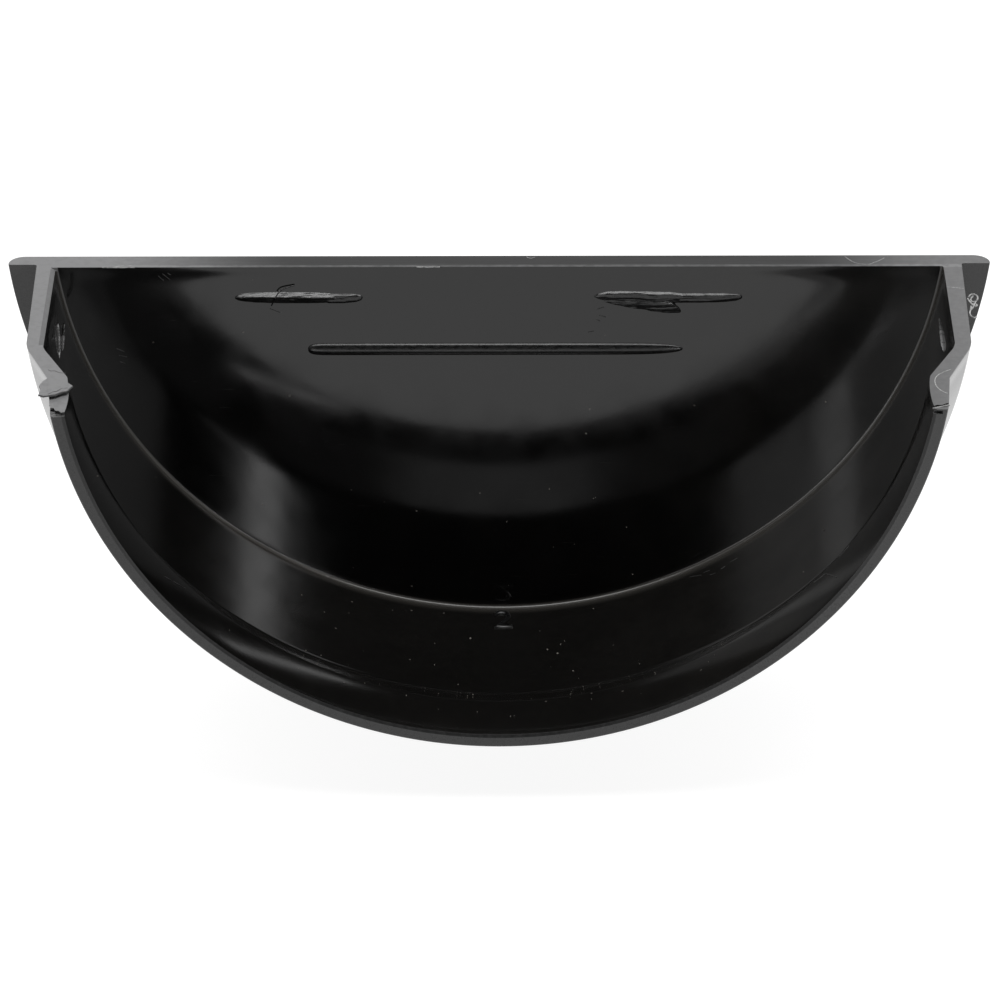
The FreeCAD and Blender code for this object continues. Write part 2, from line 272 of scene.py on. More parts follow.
def place_in_mm(tree):
    coordinates = tree.nodes.new("ShaderNodeTexCoord")
    scaled = add_node(tree, "ShaderNodeVectorMath", coordinates.outputs["Object"])
    scaled.operation = "SCALE"
    scaled.inputs["Scale"].default_value = 1 / MM
    return scaled.outputs[0]


def facing_up(tree):
    """1 on a face that looks straight up, 0 on an upright one."""
    return axes(tree, tree.nodes.new("ShaderNodeNewGeometry").outputs["Normal"])["Z"]


def drawn_noise(tree, turn, stretch, scale, detail, roughness):
    """Noise on the place in millimetres, which is first turned about the axes and stretched."""
    mapping = add_node(tree, "ShaderNodeMapping", place_in_mm(tree), Rotation=turn, Scale=stretch)
    node = add_node(tree, "ShaderNodeTexNoise", Vector=mapping.outputs[0], Scale=scale, Detail=detail,
                    Roughness=roughness)
    return node.outputs["Fac"]


STRAIGHT = (0, 0, 0)
EVEN = (1, 1, 1)

grain_inputs = {"Turn": STRAIGHT, "Stretch": EVEN, "Scale": 1.0, "Detail": 4.0, "Roughness": 0.6}
grain_group, given, results = new_group("grain", grain_inputs, ["Grain"])
connect(grain_group, results["Grain"], drawn_noise(grain_group, *(given[label] for label in grain_inputs)))

dust_group, given, results = new_group("settled_dust", {"Film": 1.0, "Speck Share": 0.1}, ["Film", "Specks"])
tree = dust_group
cloudy = fade(tree, drawn_noise(tree, STRAIGHT, EVEN, 0.9, 4.0, 0.6), 0.3, 0.7, 0.85, 1.15)
connect(tree, results["Film"], product(tree, fade(tree, facing_up(tree), 0.35, 1.0), cloudy, given["Film"]))
cells = add_node(tree, "ShaderNodeTexVoronoi", Vector=place_in_mm(tree), Scale=0.55)
dot = fade(tree, cells.outputs["Distance"], 0.05, 0.09, 1.0, 0.0)
lottery = add_node(tree, "ShaderNodeSeparateColor", cells.outputs["Color"]).outputs[0]
chosen = calculate(tree, "LESS_THAN", lottery, given["Speck Share"])
connect(tree, results["Specks"], product(tree, dot, chosen))

HAIRLINE_TURNS = [(0, 24, 0), (0, -38, 8)]
HAIRLINE_STRETCH = (0.12, 4.0, 4.0)
hairline_group, given, results = new_group("hairlines", {"Share": 0.5}, ["Mask"])
tree = hairline_group
threshold = calculate(tree, "SUBTRACT", 0.83, product(tree, given["Share"], 0.1))
lines = []
for turn in HAIRLINE_TURNS:
    drawn_out = drawn_noise(tree, in_radians(turn), HAIRLINE_STRETCH, 1.6, 3.0, 0.7)
    lines.append(calculate(tree, "GREATER_THAN", drawn_out, threshold))
connect(tree, results["Mask"], calculate(tree, "MAXIMUM", *lines))
print("node groups:", grain_group.name, dust_group.name, hairline_group.name)


# %% Helpers for finishes
def use_group(tree, group, **inputs):
    node = tree.nodes.new("ShaderNodeGroup")
    node.node_tree = group
    for name, value in inputs.items():
        connect(tree, node.inputs[name.replace("_", " ")], value)
    return node.outputs


def grain(tree, scale, detail=4.0, roughness=0.6, turn=STRAIGHT, stretch=EVEN):
    """The shared grain: how fine it is, how rich, and how it is turned, in degrees, and drawn out."""
    return use_group(tree, grain_group, Turn=in_radians(turn), Stretch=stretch, Scale=scale, Detail=detail,
                     Roughness=roughness)["Grain"]


def blend_colour(tree, mask, first, second):
    """From one colour to another by a mask: sockets 0, 6, 7 and output 2 of a Mix node of colours."""
    node = tree.nodes.new("ShaderNodeMix")
    node.data_type = "RGBA"
    for socket, value in ((0, mask), (6, first), (7, second)):
        connect(tree, node.inputs[socket], value)
    return node.outputs[2]


def bump(tree, height, strength, distance):
    return add_node(tree, "ShaderNodeBump", Height=height, Strength=strength, Distance=distance).outputs[0]


# %% [markdown]
# A glossy plate shows by its mirror images that it isn't flat. It bows out in the middle,
# the saw rolled its top edge, and the corner with the wall is paler and rougher.
# The bow is less than a millimetre deep, so it isn't modelled. It is a smooth height for the Bump node,
# which bends the mirror images too.


# %% Skin of the moulding
def from_axis(tree, place):
    """Distance from the axis of the gutter, in millimetres."""
    flat_place = add_node(tree, "ShaderNodeVectorMath", place, (1, 0, 1))
    flat_place.operation = "MULTIPLY"
    away = add_node(tree, "ShaderNodeVectorMath", flat_place.outputs[0], (0, 0, axis_height / MM))
    away.operation = "DISTANCE"
    return away.outputs["Value"]


def moulded_skin(tree, place):
    """The height of the skin in millimetres: the bow of the plate, the rolled edge and slight waves."""
    reach = calculate(tree, "DIVIDE", from_axis(tree, place), PLATE_RADIUS)
    inwards = calculate(tree, "SUBTRACT", 1.0, calculate(tree, "POWER", reach, 2.0))
    bow = calculate(tree, "POWER", calculate(tree, "MAXIMUM", inwards, 0.0), BOW_SHAPE)
    height = axes(tree, place)["Z"]
    fall = calculate(tree, "DIVIDE", product(tree, height, height), -ROLL_REACH ** 2)
    waves = product(tree, grain(tree, 1.2, 2.0, 0.5), WAVE_HEIGHT)
    rolled = calculate(tree, "MULTIPLY_ADD", calculate(tree, "EXPONENT", fall), ROLL_HEIGHT, waves)
    return calculate(tree, "MULTIPLY_ADD", bow, BOW_HEIGHT, rolled)


def in_the_corner(tree, place):
    """1 in the corner of plate and wall, and 0 away from it."""
    radius = from_axis(tree, place)
    y = axes(tree, place)["Y"]
    outward = fade(tree, radius, PLATE_RADIUS - CORNER_WIDTH, PLATE_RADIUS - CORNER_FULL)
    within_wall = calculate(tree, "LESS_THAN", radius, PLATE_RADIUS + CORNER_WIDTH)
    towards_plate = fade(tree, y, CORNER_MOUTH, CORNER_FLOOR)
    before_plate = calculate(tree, "LESS_THAN", y, PLATE_INSIDE)
    return product(tree, outward, within_wall, towards_plate, before_plate)


WALL_INSIDE = 53.8 * MM
PLATE_RADIUS = WALL_INSIDE / MM
BOW_HEIGHT = 0.68
BOW_SHAPE = 2.5
ROLL_HEIGHT = 0.11
ROLL_REACH = 1.2
WAVE_HEIGHT = 0.001
CORNER_WIDTH = 0.5
CORNER_FULL = 0.1
CORNER_MOUTH = -2.8
CORNER_FLOOR = -1.0
PLATE_INSIDE = -0.7
print("the plate bows by", BOW_HEIGHT, "mm within a radius of", round(PLATE_RADIUS, 1), "mm")

# %% Moulded plastic
BLACK = (0.0014, 0.0014, 0.0015, 1)
DUST = (0.30, 0.28, 0.25, 1)
DUST_FILM = 0.013
SPECK_SHARE = 0.05
SPECK_COVER = 0.3
SCRATCH_COVER = 0.06
CORNER_PALENESS = 0.11
HAZE = 0.018
HAZE_LEFT = 0.2 * HAZE

plastic, tree, shader = new_material("moulded_black_plastic")
place = place_in_mm(tree)
corner = in_the_corner(tree, place)
dust = use_group(tree, dust_group, Film=DUST_FILM, Speck_Share=SPECK_SHARE)
hairlines = use_group(tree, hairline_group, Share=1.0)["Mask"]
towards_right = fade(tree, axes(tree, place)["X"], 5, 40, HAZE_LEFT, HAZE)
haze = product(tree, towards_right, fade(tree, grain(tree, 0.12), 0.3, 0.7, 0.5, 1.5))
settled = calculate(tree, "ADD", dust["Film"], haze)
# The corner of plate and wall is made paler as well.
dust_and_paler_corner = blend_colour(tree, calculate(tree, "MULTIPLY_ADD", corner, CORNER_PALENESS, settled), BLACK, DUST)
specked = blend_colour(tree, product(tree, dust["Specks"], SPECK_COVER), dust_and_paler_corner, DUST)
scratched = blend_colour(tree, product(tree, hairlines, SCRATCH_COVER), specked, DUST)
mottled = fade(tree, grain(tree, 0.22, 3.0, 0.5), 0.3, 0.7, 0.09, 0.13)
dull = calculate(tree, "MULTIPLY_ADD", corner, 0.15, mottled)
worn = calculate(tree, "MULTIPLY_ADD", hairlines, 0.1, dull)
dress(tree, shader, scratched, worn, bump(tree, moulded_skin(tree, place), 1.0, 1 * MM))

# %% [markdown]
# The straight top edge and the tops of the walls were sawn or trimmed, so they are pale and matt.
# Along the plate the middle is dark and smoother; the walls and both ends of the plate are painted pale as a
# painted reflection of the side lights, faces that tilt from level get painted shade, and a painted highlight
# lies along the plate's front edge.


# %% Sawn plastic
def sawn_paleness_and_light(tree, place):
    """How pale the sawn face is, with painted light: walls and plate ends painted pale as a painted
    reflection, a darker middle, painted shade on tilted faces, a painted highlight along the plate's front
    edge, and the marks of the trim.
    """
    along = axes(tree, place)
    # Painted reflection: the walls and both ends of the plate are painted paler, as the side lights would
    # light them, and the middle stays dark.
    painted_lit_left_end = fade(tree, along["X"], -24, -50)
    painted_lit_right_end = fade(tree, along["X"], 36, 56, 0.0, 0.68)
    painted_lit_ends = calculate(tree, "MAXIMUM", painted_lit_left_end, painted_lit_right_end)
    mottle = grain(tree, 1.1)
    # Painted shade: sawn faces that tilt away from level, such as the chamfer and the lip, are painted
    # darker.
    painted_tilt_shade = fade(tree, facing_up(tree), 0.80, 0.97, 0.55, 1.0)
    paleness_and_light = product(tree, painted_lit_ends, fade(tree, mottle, 0.3, 0.7, 0.86, 1.06), painted_tilt_shade)
    # Painted highlight: a pale band along the front edge of the plate's sawn top, where the edge catches the
    # light.
    painted_edge_highlight = fade(tree, along["Y"], -0.1, -0.4, 0.0, 0.3)
    on_plate = fade(tree, along["Y"], -0.9, -1.3, 1.0, 0.0)
    whitish_and_lit = product(tree, painted_edge_highlight, on_plate, fade(tree, mottle, 0.35, 0.65, 0.6, 1.3))
    streaks = grain(tree, 1.3, roughness=0.65, turn=SAW_TURN, stretch=(0.06, 3.0, 1.0))
    marks = calculate(tree, "MULTIPLY_ADD", fade(tree, streaks, 0.3, 0.75), 0.07, whitish_and_lit)
    return calculate(tree, "ADD", paleness_and_light, marks)


SAW_TURN = (0, 0, 4)
SAWN_DARK = grey(0.006)
SAWN_PALE = (0.20, 0.20, 0.202, 1)
MATT = 0.15

sawn, tree, shader = new_material("sawn_black_plastic")
paleness_and_light = sawn_paleness_and_light(tree, place_in_mm(tree))
saw_lines = grain(tree, 1.5, turn=SAW_TURN, stretch=(0.08, 5.0, 1.0))
dress(tree, shader, blend_colour(tree, paleness_and_light, SAWN_DARK, SAWN_PALE),
      fade(tree, paleness_and_light, 0.0, 1.0, 0.38, 0.6), bump(tree, saw_lines, 0.25, 0.04 * MM))
shader.inputs["Specular IOR Level"].default_value = MATT

# %% [markdown]
# The front faces of the rim and the flange are only rubbed: dark, with a fine grain, and paler towards the
# right.
# The rib, the mould number and the smoother parts of the stubs are grained.
# The inner edge of the rim is worn matt, and its colour is paler towards its two ends.
# One material with masks could hold all of these, but separate ones are easier to read and to give to faces.

# %% Rubbed plastic
RUBBED_DARK = grey(0.024)
RUBBED_PALE = grey(0.033)
RUBBED_RIGHT = grey(0.052)

rubbed, tree, shader = new_material("rubbed_black_plastic")
pattern = grain(tree, 1.5)
towards_right = fade(tree, axes(tree, place_in_mm(tree))["X"], 15, 45)
colour = blend_colour(tree, fade(tree, pattern, 0.3, 0.75), RUBBED_DARK, RUBBED_PALE)
# The colour grows paler towards the right.
colour = blend_colour(tree, towards_right, colour, RUBBED_RIGHT)
dress(tree, shader, colour, fade(tree, pattern, 0.3, 0.7, 0.24, 0.32))

# %% Grained plastic
GRAINED_PALE = grey(0.007)

grained, tree, shader = new_material("grained_black_plastic")
pattern = grain(tree, 2.6, roughness=0.65, stretch=(0.5, 1.0, 1.4))
colour = blend_colour(tree, fade(tree, pattern, 0.35, 0.7), BLACK, GRAINED_PALE)
dress(tree, shader, colour, fade(tree, pattern, 0.3, 0.7, 0.26, 0.36), bump(tree, pattern, 0.2, 0.05 * MM))

# %% Worn edge
WORN_DARK = grey(0.010)
WORN_PALE = grey(0.026)
PALER_EDGE_ENDS = grey(0.055)

worn_edge, tree, shader = new_material("worn_edge")
pattern = grain(tree, 1.8)
near_ends = fade(tree, axes(tree, place_in_mm(tree))["Z"], -38, -18)
colour = blend_colour(tree, fade(tree, pattern, 0.35, 0.7), WORN_DARK, WORN_PALE)
# The colour grows paler towards the rim's two ends.
colour = blend_colour(tree, near_ends, colour, PALER_EDGE_ENDS)
dress(tree, shader, colour, fade(tree, pattern, 0.3, 0.7, 0.45, 0.6))
shader.inputs["Specular IOR Level"].default_value = MATT

# %% [markdown]
# Where a tab was broken off or the rim tore, the plastic is drawn out in fine ridges and turns whitish; the
# whitening is painted only on faces that look up, which adds painted light from above.
# Thin shavings look paler still, because light goes through them. The dust is a warm grey.

# %% Torn plastic
TORN_DARK = grey(0.004)
TORN_PALE = grey(0.16)

torn, tree, shader = new_material("torn_black_plastic")
ridges = grain(tree, 1.6, 5.0, 0.7, turn=(0, 2, 0), stretch=(0.25, 1.0, 3.2))
# Partly painted light: the whitening is real, but it is given only to faces that look up, as if lit from
# above.
whitish_and_lit = product(tree, fade(tree, ridges, 0.42, 0.66), fade(tree, facing_up(tree), 0.1, 0.7))
colour = blend_colour(tree, whitish_and_lit, TORN_DARK, TORN_PALE)
dress(tree, shader, colour, fade(tree, ridges, 0.3, 0.7, 0.18, 0.4), bump(tree, ridges, 0.3, 0.05 * MM))

# %% Shavings and dust grains
SHAVING_DARK = grey(0.16)
SHAVING_PALE = (0.42, 0.42, 0.415, 1)
GRAIN_DARK = (0.05, 0.047, 0.042, 1)

shaving, tree, shader = new_material("pale_shaving")
flakes = grain(tree, 3.0, 3.0, 0.5)
colour = blend_colour(tree, fade(tree, flakes, 0.3, 0.7), SHAVING_DARK, SHAVING_PALE)
dress(tree, shader, colour, fade(tree, flakes, 0.3, 0.7, 0.35, 0.6))

dust_grain, tree, shader = new_material("dust_grain")
patches = grain(tree, 0.8, 2.0, 0.5)
colour = blend_colour(tree, fade(tree, patches, 0.35, 0.65), GRAIN_DARK, DUST)
dress(tree, shader, colour, fade(tree, patches, 0.3, 0.7, 0.7, 0.95))

# %% [markdown]
# Every wall of the cap has the same section all the way round: plate, flange, wall, double bend and rim.
# It could be put together from a disc and tubes, but then the places where they meet would show.
# So the section is drawn once, corner by corner, as one line, and its corners are rounded with a bevel.
# Then it is spun half a turn about the axis of the gutter, which lies a little above the straight edge.

# %% Section of the cap
PLATE_STEP = 0.8 * MM
WALL_OUTSIDE = 56.0 * MM
WALL_END = 55.7 * MM
BEND_START = 22.1 * MM
BEND_END = 30.5 * MM
BEND_LAG = 0.5 * MM
RIM_OUTSIDE = 52.0 * MM
RIM_ROOT = 52.6 * MM
RIM_INSIDE = 50.4 * MM
RIM_CROWN = 0.5 * MM
EDGE_DROP = 0.15 * MM
EDGE_RUN = 0.34 * MM
ROUND_SEGMENTS = 8

# Each corner: radius from the axis, place along Y, length taken off both sides by its round
SECTION = [
    (0, -PLATE_STEP, 0),
    (WALL_INSIDE, -PLATE_STEP, 0.4 * MM),
    (WALL_INSIDE, -BEND_START - BEND_LAG, 1.0 * MM),
    (RIM_INSIDE, -BEND_END, 0.3 * MM),
    (RIM_INSIDE - RIM_CROWN, (low.y - BEND_END) / 2, 3.4 * MM),
    (RIM_INSIDE, low.y + EDGE_DROP, 0.03 * MM),
    (RIM_INSIDE + EDGE_RUN, low.y, 0.25 * MM),
    (RIM_OUTSIDE, low.y, 0.3 * MM),
    (RIM_ROOT, -BEND_END - BEND_LAG, 0.2 * MM),
    (WALL_END, -BEND_START - BEND_LAG, 1.3 * MM),
    (WALL_OUTSIDE, 0, 0.35 * MM),
    (flange_radius, 0, 0.15 * MM),
    (flange_radius, high.y, 2.0 * MM),
    (0, high.y, 0),
]


def section_point(radius, y):
    """A corner of the section, drawn flat to the left of the axis."""
    return Vector((-radius, y, axis_height))


def select_near(piece, point, reach=0.01 * MM):
    mesh = bmesh.from_edit_mesh(piece.data)
    for vertex in mesh.verts:
        vertex.select = (vertex.co - point).length < reach
    mesh.select_flush_mode()
    bmesh.update_edit_mesh(piece.data)


def draw_line(name, points):
    """A new piece in edit mode: one line from point to point."""
    bpy.ops.object.select_all(action="DESELECT")
    bpy.ops.mesh.primitive_plane_add(size=1 * MM)
    piece = bpy.context.object
    piece.name = name
    bpy.ops.object.mode_set(mode="EDIT")
    bpy.ops.mesh.select_mode(type="VERT")
    bpy.ops.mesh.merge(type="CENTER")
    bpy.ops.transform.translate(value=points[0])
    for before, after in zip(points, points[1:]):
        bpy.ops.mesh.extrude_region_move(TRANSFORM_OT_translate={"value": after - before})
    return piece


def fill_line():
    bpy.ops.mesh.select_all(action="SELECT")
    bpy.ops.mesh.edge_face_add()


def edit_all():
    bpy.ops.object.mode_set(mode="EDIT")
    bpy.ops.mesh.select_all(action="SELECT")


def face_outwards():
    """Turns all faces outwards and leaves edit mode."""
    bpy.ops.mesh.select_all(action="SELECT")
    bpy.ops.mesh.normals_make_consistent(inside=False)
    bpy.ops.object.mode_set(mode="OBJECT")


cap = draw_line("cap_moulding", [section_point(radius, y) for radius, y, take_off in SECTION])
for radius, y, take_off in SECTION:
    if take_off:
        select_near(cap, section_point(radius, y))
        bpy.ops.mesh.bevel(offset=take_off, segments=ROUND_SEGMENTS, affect="VERTICES")
bpy.ops.object.mode_set(mode="OBJECT")
print("section:", len(cap.data.vertices), "points")

# %% [markdown]
# The spun shell is cut flat by a bisect that fills the cut, just under the straight edge of the solid.
# Then every face gets its finish by where it lies and how it looks: sawn on top, rubbed in front,
# worn along the inner edge of the rim, and moulded everywhere else.

# %% Spin the section and cut it flat
SPIN_STEPS = 240
SAWN_LEVEL = -0.05 * MM
SAME_POINT = 0.001 * MM

edit_all()
bpy.ops.mesh.spin(steps=SPIN_STEPS, angle=math.pi, center=(0, 0, axis_height), axis=(0, 1, 0))
bpy.ops.mesh.select_all(action="SELECT")
bpy.ops.mesh.remove_doubles(threshold=SAME_POINT)
bpy.ops.mesh.bisect(plane_co=(0, 0, SAWN_LEVEL), plane_no=(0, 0, 1), use_fill=True, clear_outer=True,
                    threshold=SAME_POINT)
face_outwards()
print("cap:", len(cap.data.polygons), "faces")


# %% Finishes of the cap
def cap_finish(middle, normal):
    """The number of a face's finish, by its middle and normal: 0 moulded, 1 sawn, 2 rubbed, 3 worn."""
    if normal.z > SQUARE_ON and middle.z > SAWN_LEVEL - TOUCHING:
        return 1
    if middle.y < low.y + RIM_FRONT_DEPTH and normal.y < -RIM_FRONT_TURN:
        from_middle = math.hypot(middle.x, axis_height - middle.z)
        inner_edge = normal.y > -INNER_EDGE_TURN and from_middle < RIM_INSIDE + EDGE_RUN
        return 3 if inner_edge else 2
    flange_front = normal.y < -SQUARE_ON and middle.y > -TOUCHING
    return 2 if flange_front else 0


SQUARE_ON = 0.99
TOUCHING = 0.01 * MM
RIM_FRONT_DEPTH = 0.36 * MM
RIM_FRONT_TURN = 0.1
INNER_EDGE_TURN = 0.985
for material in (plastic, sawn, rubbed, worn_edge):
    cap.data.materials.append(material)
for polygon in cap.data.polygons:
    polygon.material_index = cap_finish(polygon.center, polygon.normal)
print("finishes of the cap:", [slot.name for slot in cap.material_slots])

# %% [markdown]
# The rim is damaged: on the left a piece of its top end is torn down, on the right a corner is chipped.
# Both are cut with prisms whose back edge is ragged. A cutter has one finish on its floor
# and one on its walls, and the cut passes them on to the faces that it leaves:
# sawn or torn where they lie, torn where they stand.
# The corners could be shaped point by point, but a cut leaves the rest of the rim untouched.


# %% Torn corner and chipped corner
def prism(name, outline, bottom, top):
    """An outline in plan, in millimetres, filled and extruded upwards."""
    piece = draw_line(name, [Vector((x, y, bottom)) * MM for x, y in outline])
    fill_line()
    bpy.ops.mesh.extrude_region_move(TRANSFORM_OT_translate={"value": (0, 0, (top - bottom) * MM)})
    face_outwards()
    return piece


def apply_modifier(piece, kind, **settings):
    modifier = piece.modifiers.new(kind.lower(), kind)
    for name, value in settings.items():
        setattr(modifier, name, value)
    bpy.context.view_layer.objects.active = piece
    bpy.ops.object.modifier_apply(modifier=modifier.name)


def cut_away(piece, cutter, floor_finish, wall_finish):
    """Takes the cutter's volume away. Faces that the cut leaves lying get one finish, the others another."""
    cutter.data.materials.append(floor_finish)
    cutter.data.materials.append(wall_finish)
    for polygon in cutter.data.polygons:
        polygon.material_index = 0 if polygon.normal.z < -0.5 else 1
    apply_modifier(piece, "BOOLEAN", operation="DIFFERENCE", solver="EXACT", material_mode="TRANSFER",
                   object=cutter)
    bpy.data.objects.remove(cutter)


TEAR_OUTLINE = [
    (-54.2, -41.0), (-48.0, -41.0), (-48.0, -32.2), (-49.3, -32.4), (-49.8, -33.3), (-50.4, -33.5),
    (-50.8, -34.1), (-51.3, -34.3), (-51.7, -34.8), (-52.3, -34.9), (-54.2, -35.4)]
SPLIT_OUTLINE = [
    (-54.2, -41.0), (-48.0, -41.0), (-48.0, -38.6), (-49.4, -38.5), (-49.7, -38.2), (-50.1, -38.35),
    (-50.4, -37.9), (-50.8, -37.8), (-51.0, -37.2), (-51.4, -37.1), (-51.5, -36.5), (-51.8, -36.2),
    (-51.9, -35.3), (-54.2, -35.1)]
CHIP_OUTLINE = [
    (54.2, -41.0), (48.0, -41.0), (48.0, -38.6), (49.7, -38.4), (50.2, -38.0), (50.7, -38.1),
    (51.3, -37.6), (54.2, -37.0)]
NOTCH_OUTLINE = [
    (48.5, -41.0), (50.9, -41.0), (50.8, -38.6), (50.5, -38.35), (50.1, -38.45), (49.8, -38.25),
    (48.5, -38.4)]

# Each cut: name, outline, bottom, top, finish where it lies
CUTS = [
    ("tear_cutter", TEAR_OUTLINE, -0.7, 1.0, sawn),
    ("split_cutter", SPLIT_OUTLINE, -1.05, 1.0, torn),
    ("chip_cutter", CHIP_OUTLINE, -0.25, 1.0, sawn),
    ("notch_cutter", NOTCH_OUTLINE, -0.85, -0.4, torn),
]
for name, outline, bottom, top, lying_finish in CUTS:
    cut_away(cap, prism(name, outline, bottom, top), lying_finish, torn)
print("cap with its torn and chipped rim:", len(cap.data.polygons), "faces")

# %% [markdown]
# The left wall has a narrow chamfer along its inner top edge, and the back corner of the flange
# is worn off slantwise at the left end. For a bevel, the edges would have to be found in the cut mesh.
# A turned block only needs its place, so both are cut with one.


# %% Chamfer and worn corner
def block(place, turn, size):
    """A cutter: a block with its middle at a place, turned and sized, in millimetres and degrees."""
    bpy.ops.object.select_all(action="DESELECT")
    bpy.ops.mesh.primitive_cube_add(size=1, location=Vector(place) * MM, scale=Vector(size) * MM,
                                    rotation=in_radians(turn))
    bpy.ops.object.transform_apply()
    return bpy.context.object


# Each block: its middle, turn and size
CHAMFER = ((-53.31, -11.46, 0.25), (0, 32, 0), (2, 21.28, 1))
WORN_CORNER = ((-59.53, 2.26, -10), (0, 0, 50), (6, 2, 30))

cut_away(cap, block(*CHAMFER), sawn, sawn)
cut_away(cap, block(*WORN_CORNER), plastic, plastic)
print("cap with its chamfer and worn corner:", len(cap.data.polygons), "faces")

# %% [markdown]
# A finished piece is shaded, gets its finish and is handed over to ride on the part's only body.
# The cap takes the place of the solid. Every other piece is something finer that sits on it.


# %% Hand over the cap
def select_only(piece):
    bpy.ops.object.select_all(action="DESELECT")
    piece.select_set(True)
    bpy.context.view_layer.objects.active = piece


def hand_over(piece, *finishes, angle=60, flat_faces=False):
    """Shades a piece smooth up to an angle and gives it its finishes, unless it has them, and its body.
    Weighted normals keep large flat faces flat beside their rounds."""
    select_only(piece)
    bpy.ops.object.shade_smooth_by_angle(angle=math.radians(angle))
    if flat_faces:
        apply_modifier(piece, "WEIGHTED_NORMAL", weight=100, keep_sharp=True)
    for finish in finishes:
        piece.data.materials.append(finish)
    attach(piece, "root")
    print(piece.name, len(piece.data.polygons), "faces")


hand_over(cap, angle=30, flat_faces=True)
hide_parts("end_cap")

# %% [markdown]
# A low rib runs across the plate. Its upper flank leans and catches the light from above,
# and below the crest it falls away into the dark. So its section is drawn as a line and filled.
# It is extruded from station to station and scaled at each one:
# the left end comes out round, the right one pointed.
# A subdivision modifier then takes the corners off. A bevelled block would have two ends alike.


# %% Plate rib
def drawn_ridge(name, section, stations):
    """A ridge along X on the plane Y = 0, in millimetres.
    The section is given by (Y, Z), a station by (X, Z, scale)."""
    x, z, scale = stations[0]
    ridge = draw_line(name, [Vector((x, y * scale, z + up * scale)) * MM for y, up in section])
    fill_line()
    for (x, z, scale), (next_x, next_z, next_scale) in zip(stations, stations[1:]):
        step = Vector((next_x - x, 0, next_z - z)) * MM
        growth = next_scale / scale
        bpy.ops.mesh.extrude_region_move(TRANSFORM_OT_translate={"value": step})
        bpy.ops.transform.resize(value=(1, growth, growth), center_override=(0, 0, next_z * MM))
    face_outwards()
    return ridge


def seat(piece, place, turn=STRAIGHT):
    """Moves and turns a piece, in millimetres and degrees, and puts that into its mesh."""
    select_only(piece)
    piece.location = Vector(place) * MM
    piece.rotation_euler = in_radians(turn)
    bpy.ops.object.transform_apply()


PLATE_FACE = -PLATE_STEP / MM
RIB_DROP = 11.0
RIB_SECTION = [
    (0.15, 0.86), (0.0, 0.80), (-0.20, 0.73), (-0.36, 0.54), (-0.48, 0.30), (-0.55, 0.08), (-0.55, -0.06),
    (-0.50, -0.28), (-0.38, -0.52), (-0.18, -0.72), (0.0, -0.82), (0.15, -0.88)]
RIB_STATIONS = [
    (-23.1, 0, 0.2), (-23.0, 0, 0.5), (-22.75, 0, 0.75), (-22.2, 0, 0.93), (-21.3, 0, 1.0),
    (-19.5, 0, 1.0), (14.5, 0, 1.0), (17.5, 0, 0.95), (19.8, 0, 0.82), (21.2, 0, 0.6), (21.9, 0, 0.38),
    (22.15, 0, 0.14)]

rib = drawn_ridge("plate_rib", RIB_SECTION, RIB_STATIONS)
apply_modifier(rib, "SUBSURF", levels=3, render_levels=3)
seat(rib, (0, PLATE_FACE, -RIB_DROP))
hand_over(rib, grained)

# %% [markdown]
# Two tabs were broken off above the rib, and one on each side wall. What is left of each is a torn stub.
# It is put together from a few ridges, which a voxel remesh melts into one skin of many small faces.
# For drawn-out fibres it is squeezed along its length, roughened by a cloud texture and stretched back.


# %% Stubs of the broken tabs
def stretch(factor):
    """Stretches the active piece along X, from the middle of the cap."""
    edit_all()
    bpy.ops.transform.resize(value=(factor, 1, 1), center_override=(0, 0, 0))
    bpy.ops.object.mode_set(mode="OBJECT")


def cloud_texture(name, size):
    """A texture with clouds of a given size, in millimetres."""
    texture = bpy.data.textures.new(name, "CLOUDS")
    texture.noise_scale = size * MM
    return texture


def torn_stub(name, fibre, depth, finish_at, *ridges):
    """Ridges, each given by section and stations, melted together and torn into fibres of a given width.
    The rule finish_at takes the middle of a face and gives its finish: 0 torn, 1 grained, 2 moulded."""
    parts = [drawn_ridge(name, section, stations) for section, stations in ridges]
    bpy.ops.object.select_all(action="DESELECT")
    for part in parts:
        part.select_set(True)
    bpy.ops.object.join()
    stub = bpy.context.object
    stub.name = name
    apply_modifier(stub, "REMESH", mode="VOXEL", voxel_size=STUB_VOXEL)
    clouds = cloud_texture("torn_fibres", fibre)
    stretch(1 / DRAWN_OUT)
    apply_modifier(stub, "DISPLACE", texture=clouds, direction="Y", strength=depth * MM, mid_level=0.5)
    stretch(DRAWN_OUT)
    for finish in (torn, grained, plastic):
        stub.data.materials.append(finish)
    for polygon in stub.data.polygons:
        polygon.material_index = finish_at(polygon.center / MM)
    return stub


DRAWN_OUT = 8
STUB_VOXEL = 0.08 * MM
STUB_DROP = 4.1
EDGED = [(0.15, 0.82), (0.0, 0.74), (-0.56, 0.32), (-0.58, 0.24), (0.0, -0.74), (0.15, -0.85)]
FLAT = [
    (0.15, 0.66), (0.0, 0.60), (-0.28, 0.40), (-0.34, 0.10), (-0.32, -0.30), (-0.12, -0.62), (0.15, -0.80)]
HALF_EDGED = [
    (0.15, 0.82), (0.0, 0.75), (-0.32, 0.51), (-0.38, 0.12), (-0.25, -0.33), (0.0, -0.75), (0.15, -0.85)]
WEDGE = [(0.15, 0.80), (-0.20, 0.75), (-0.44, 0.55), (-0.20, -0.40), (0.0, -0.85), (0.15, -0.95)]

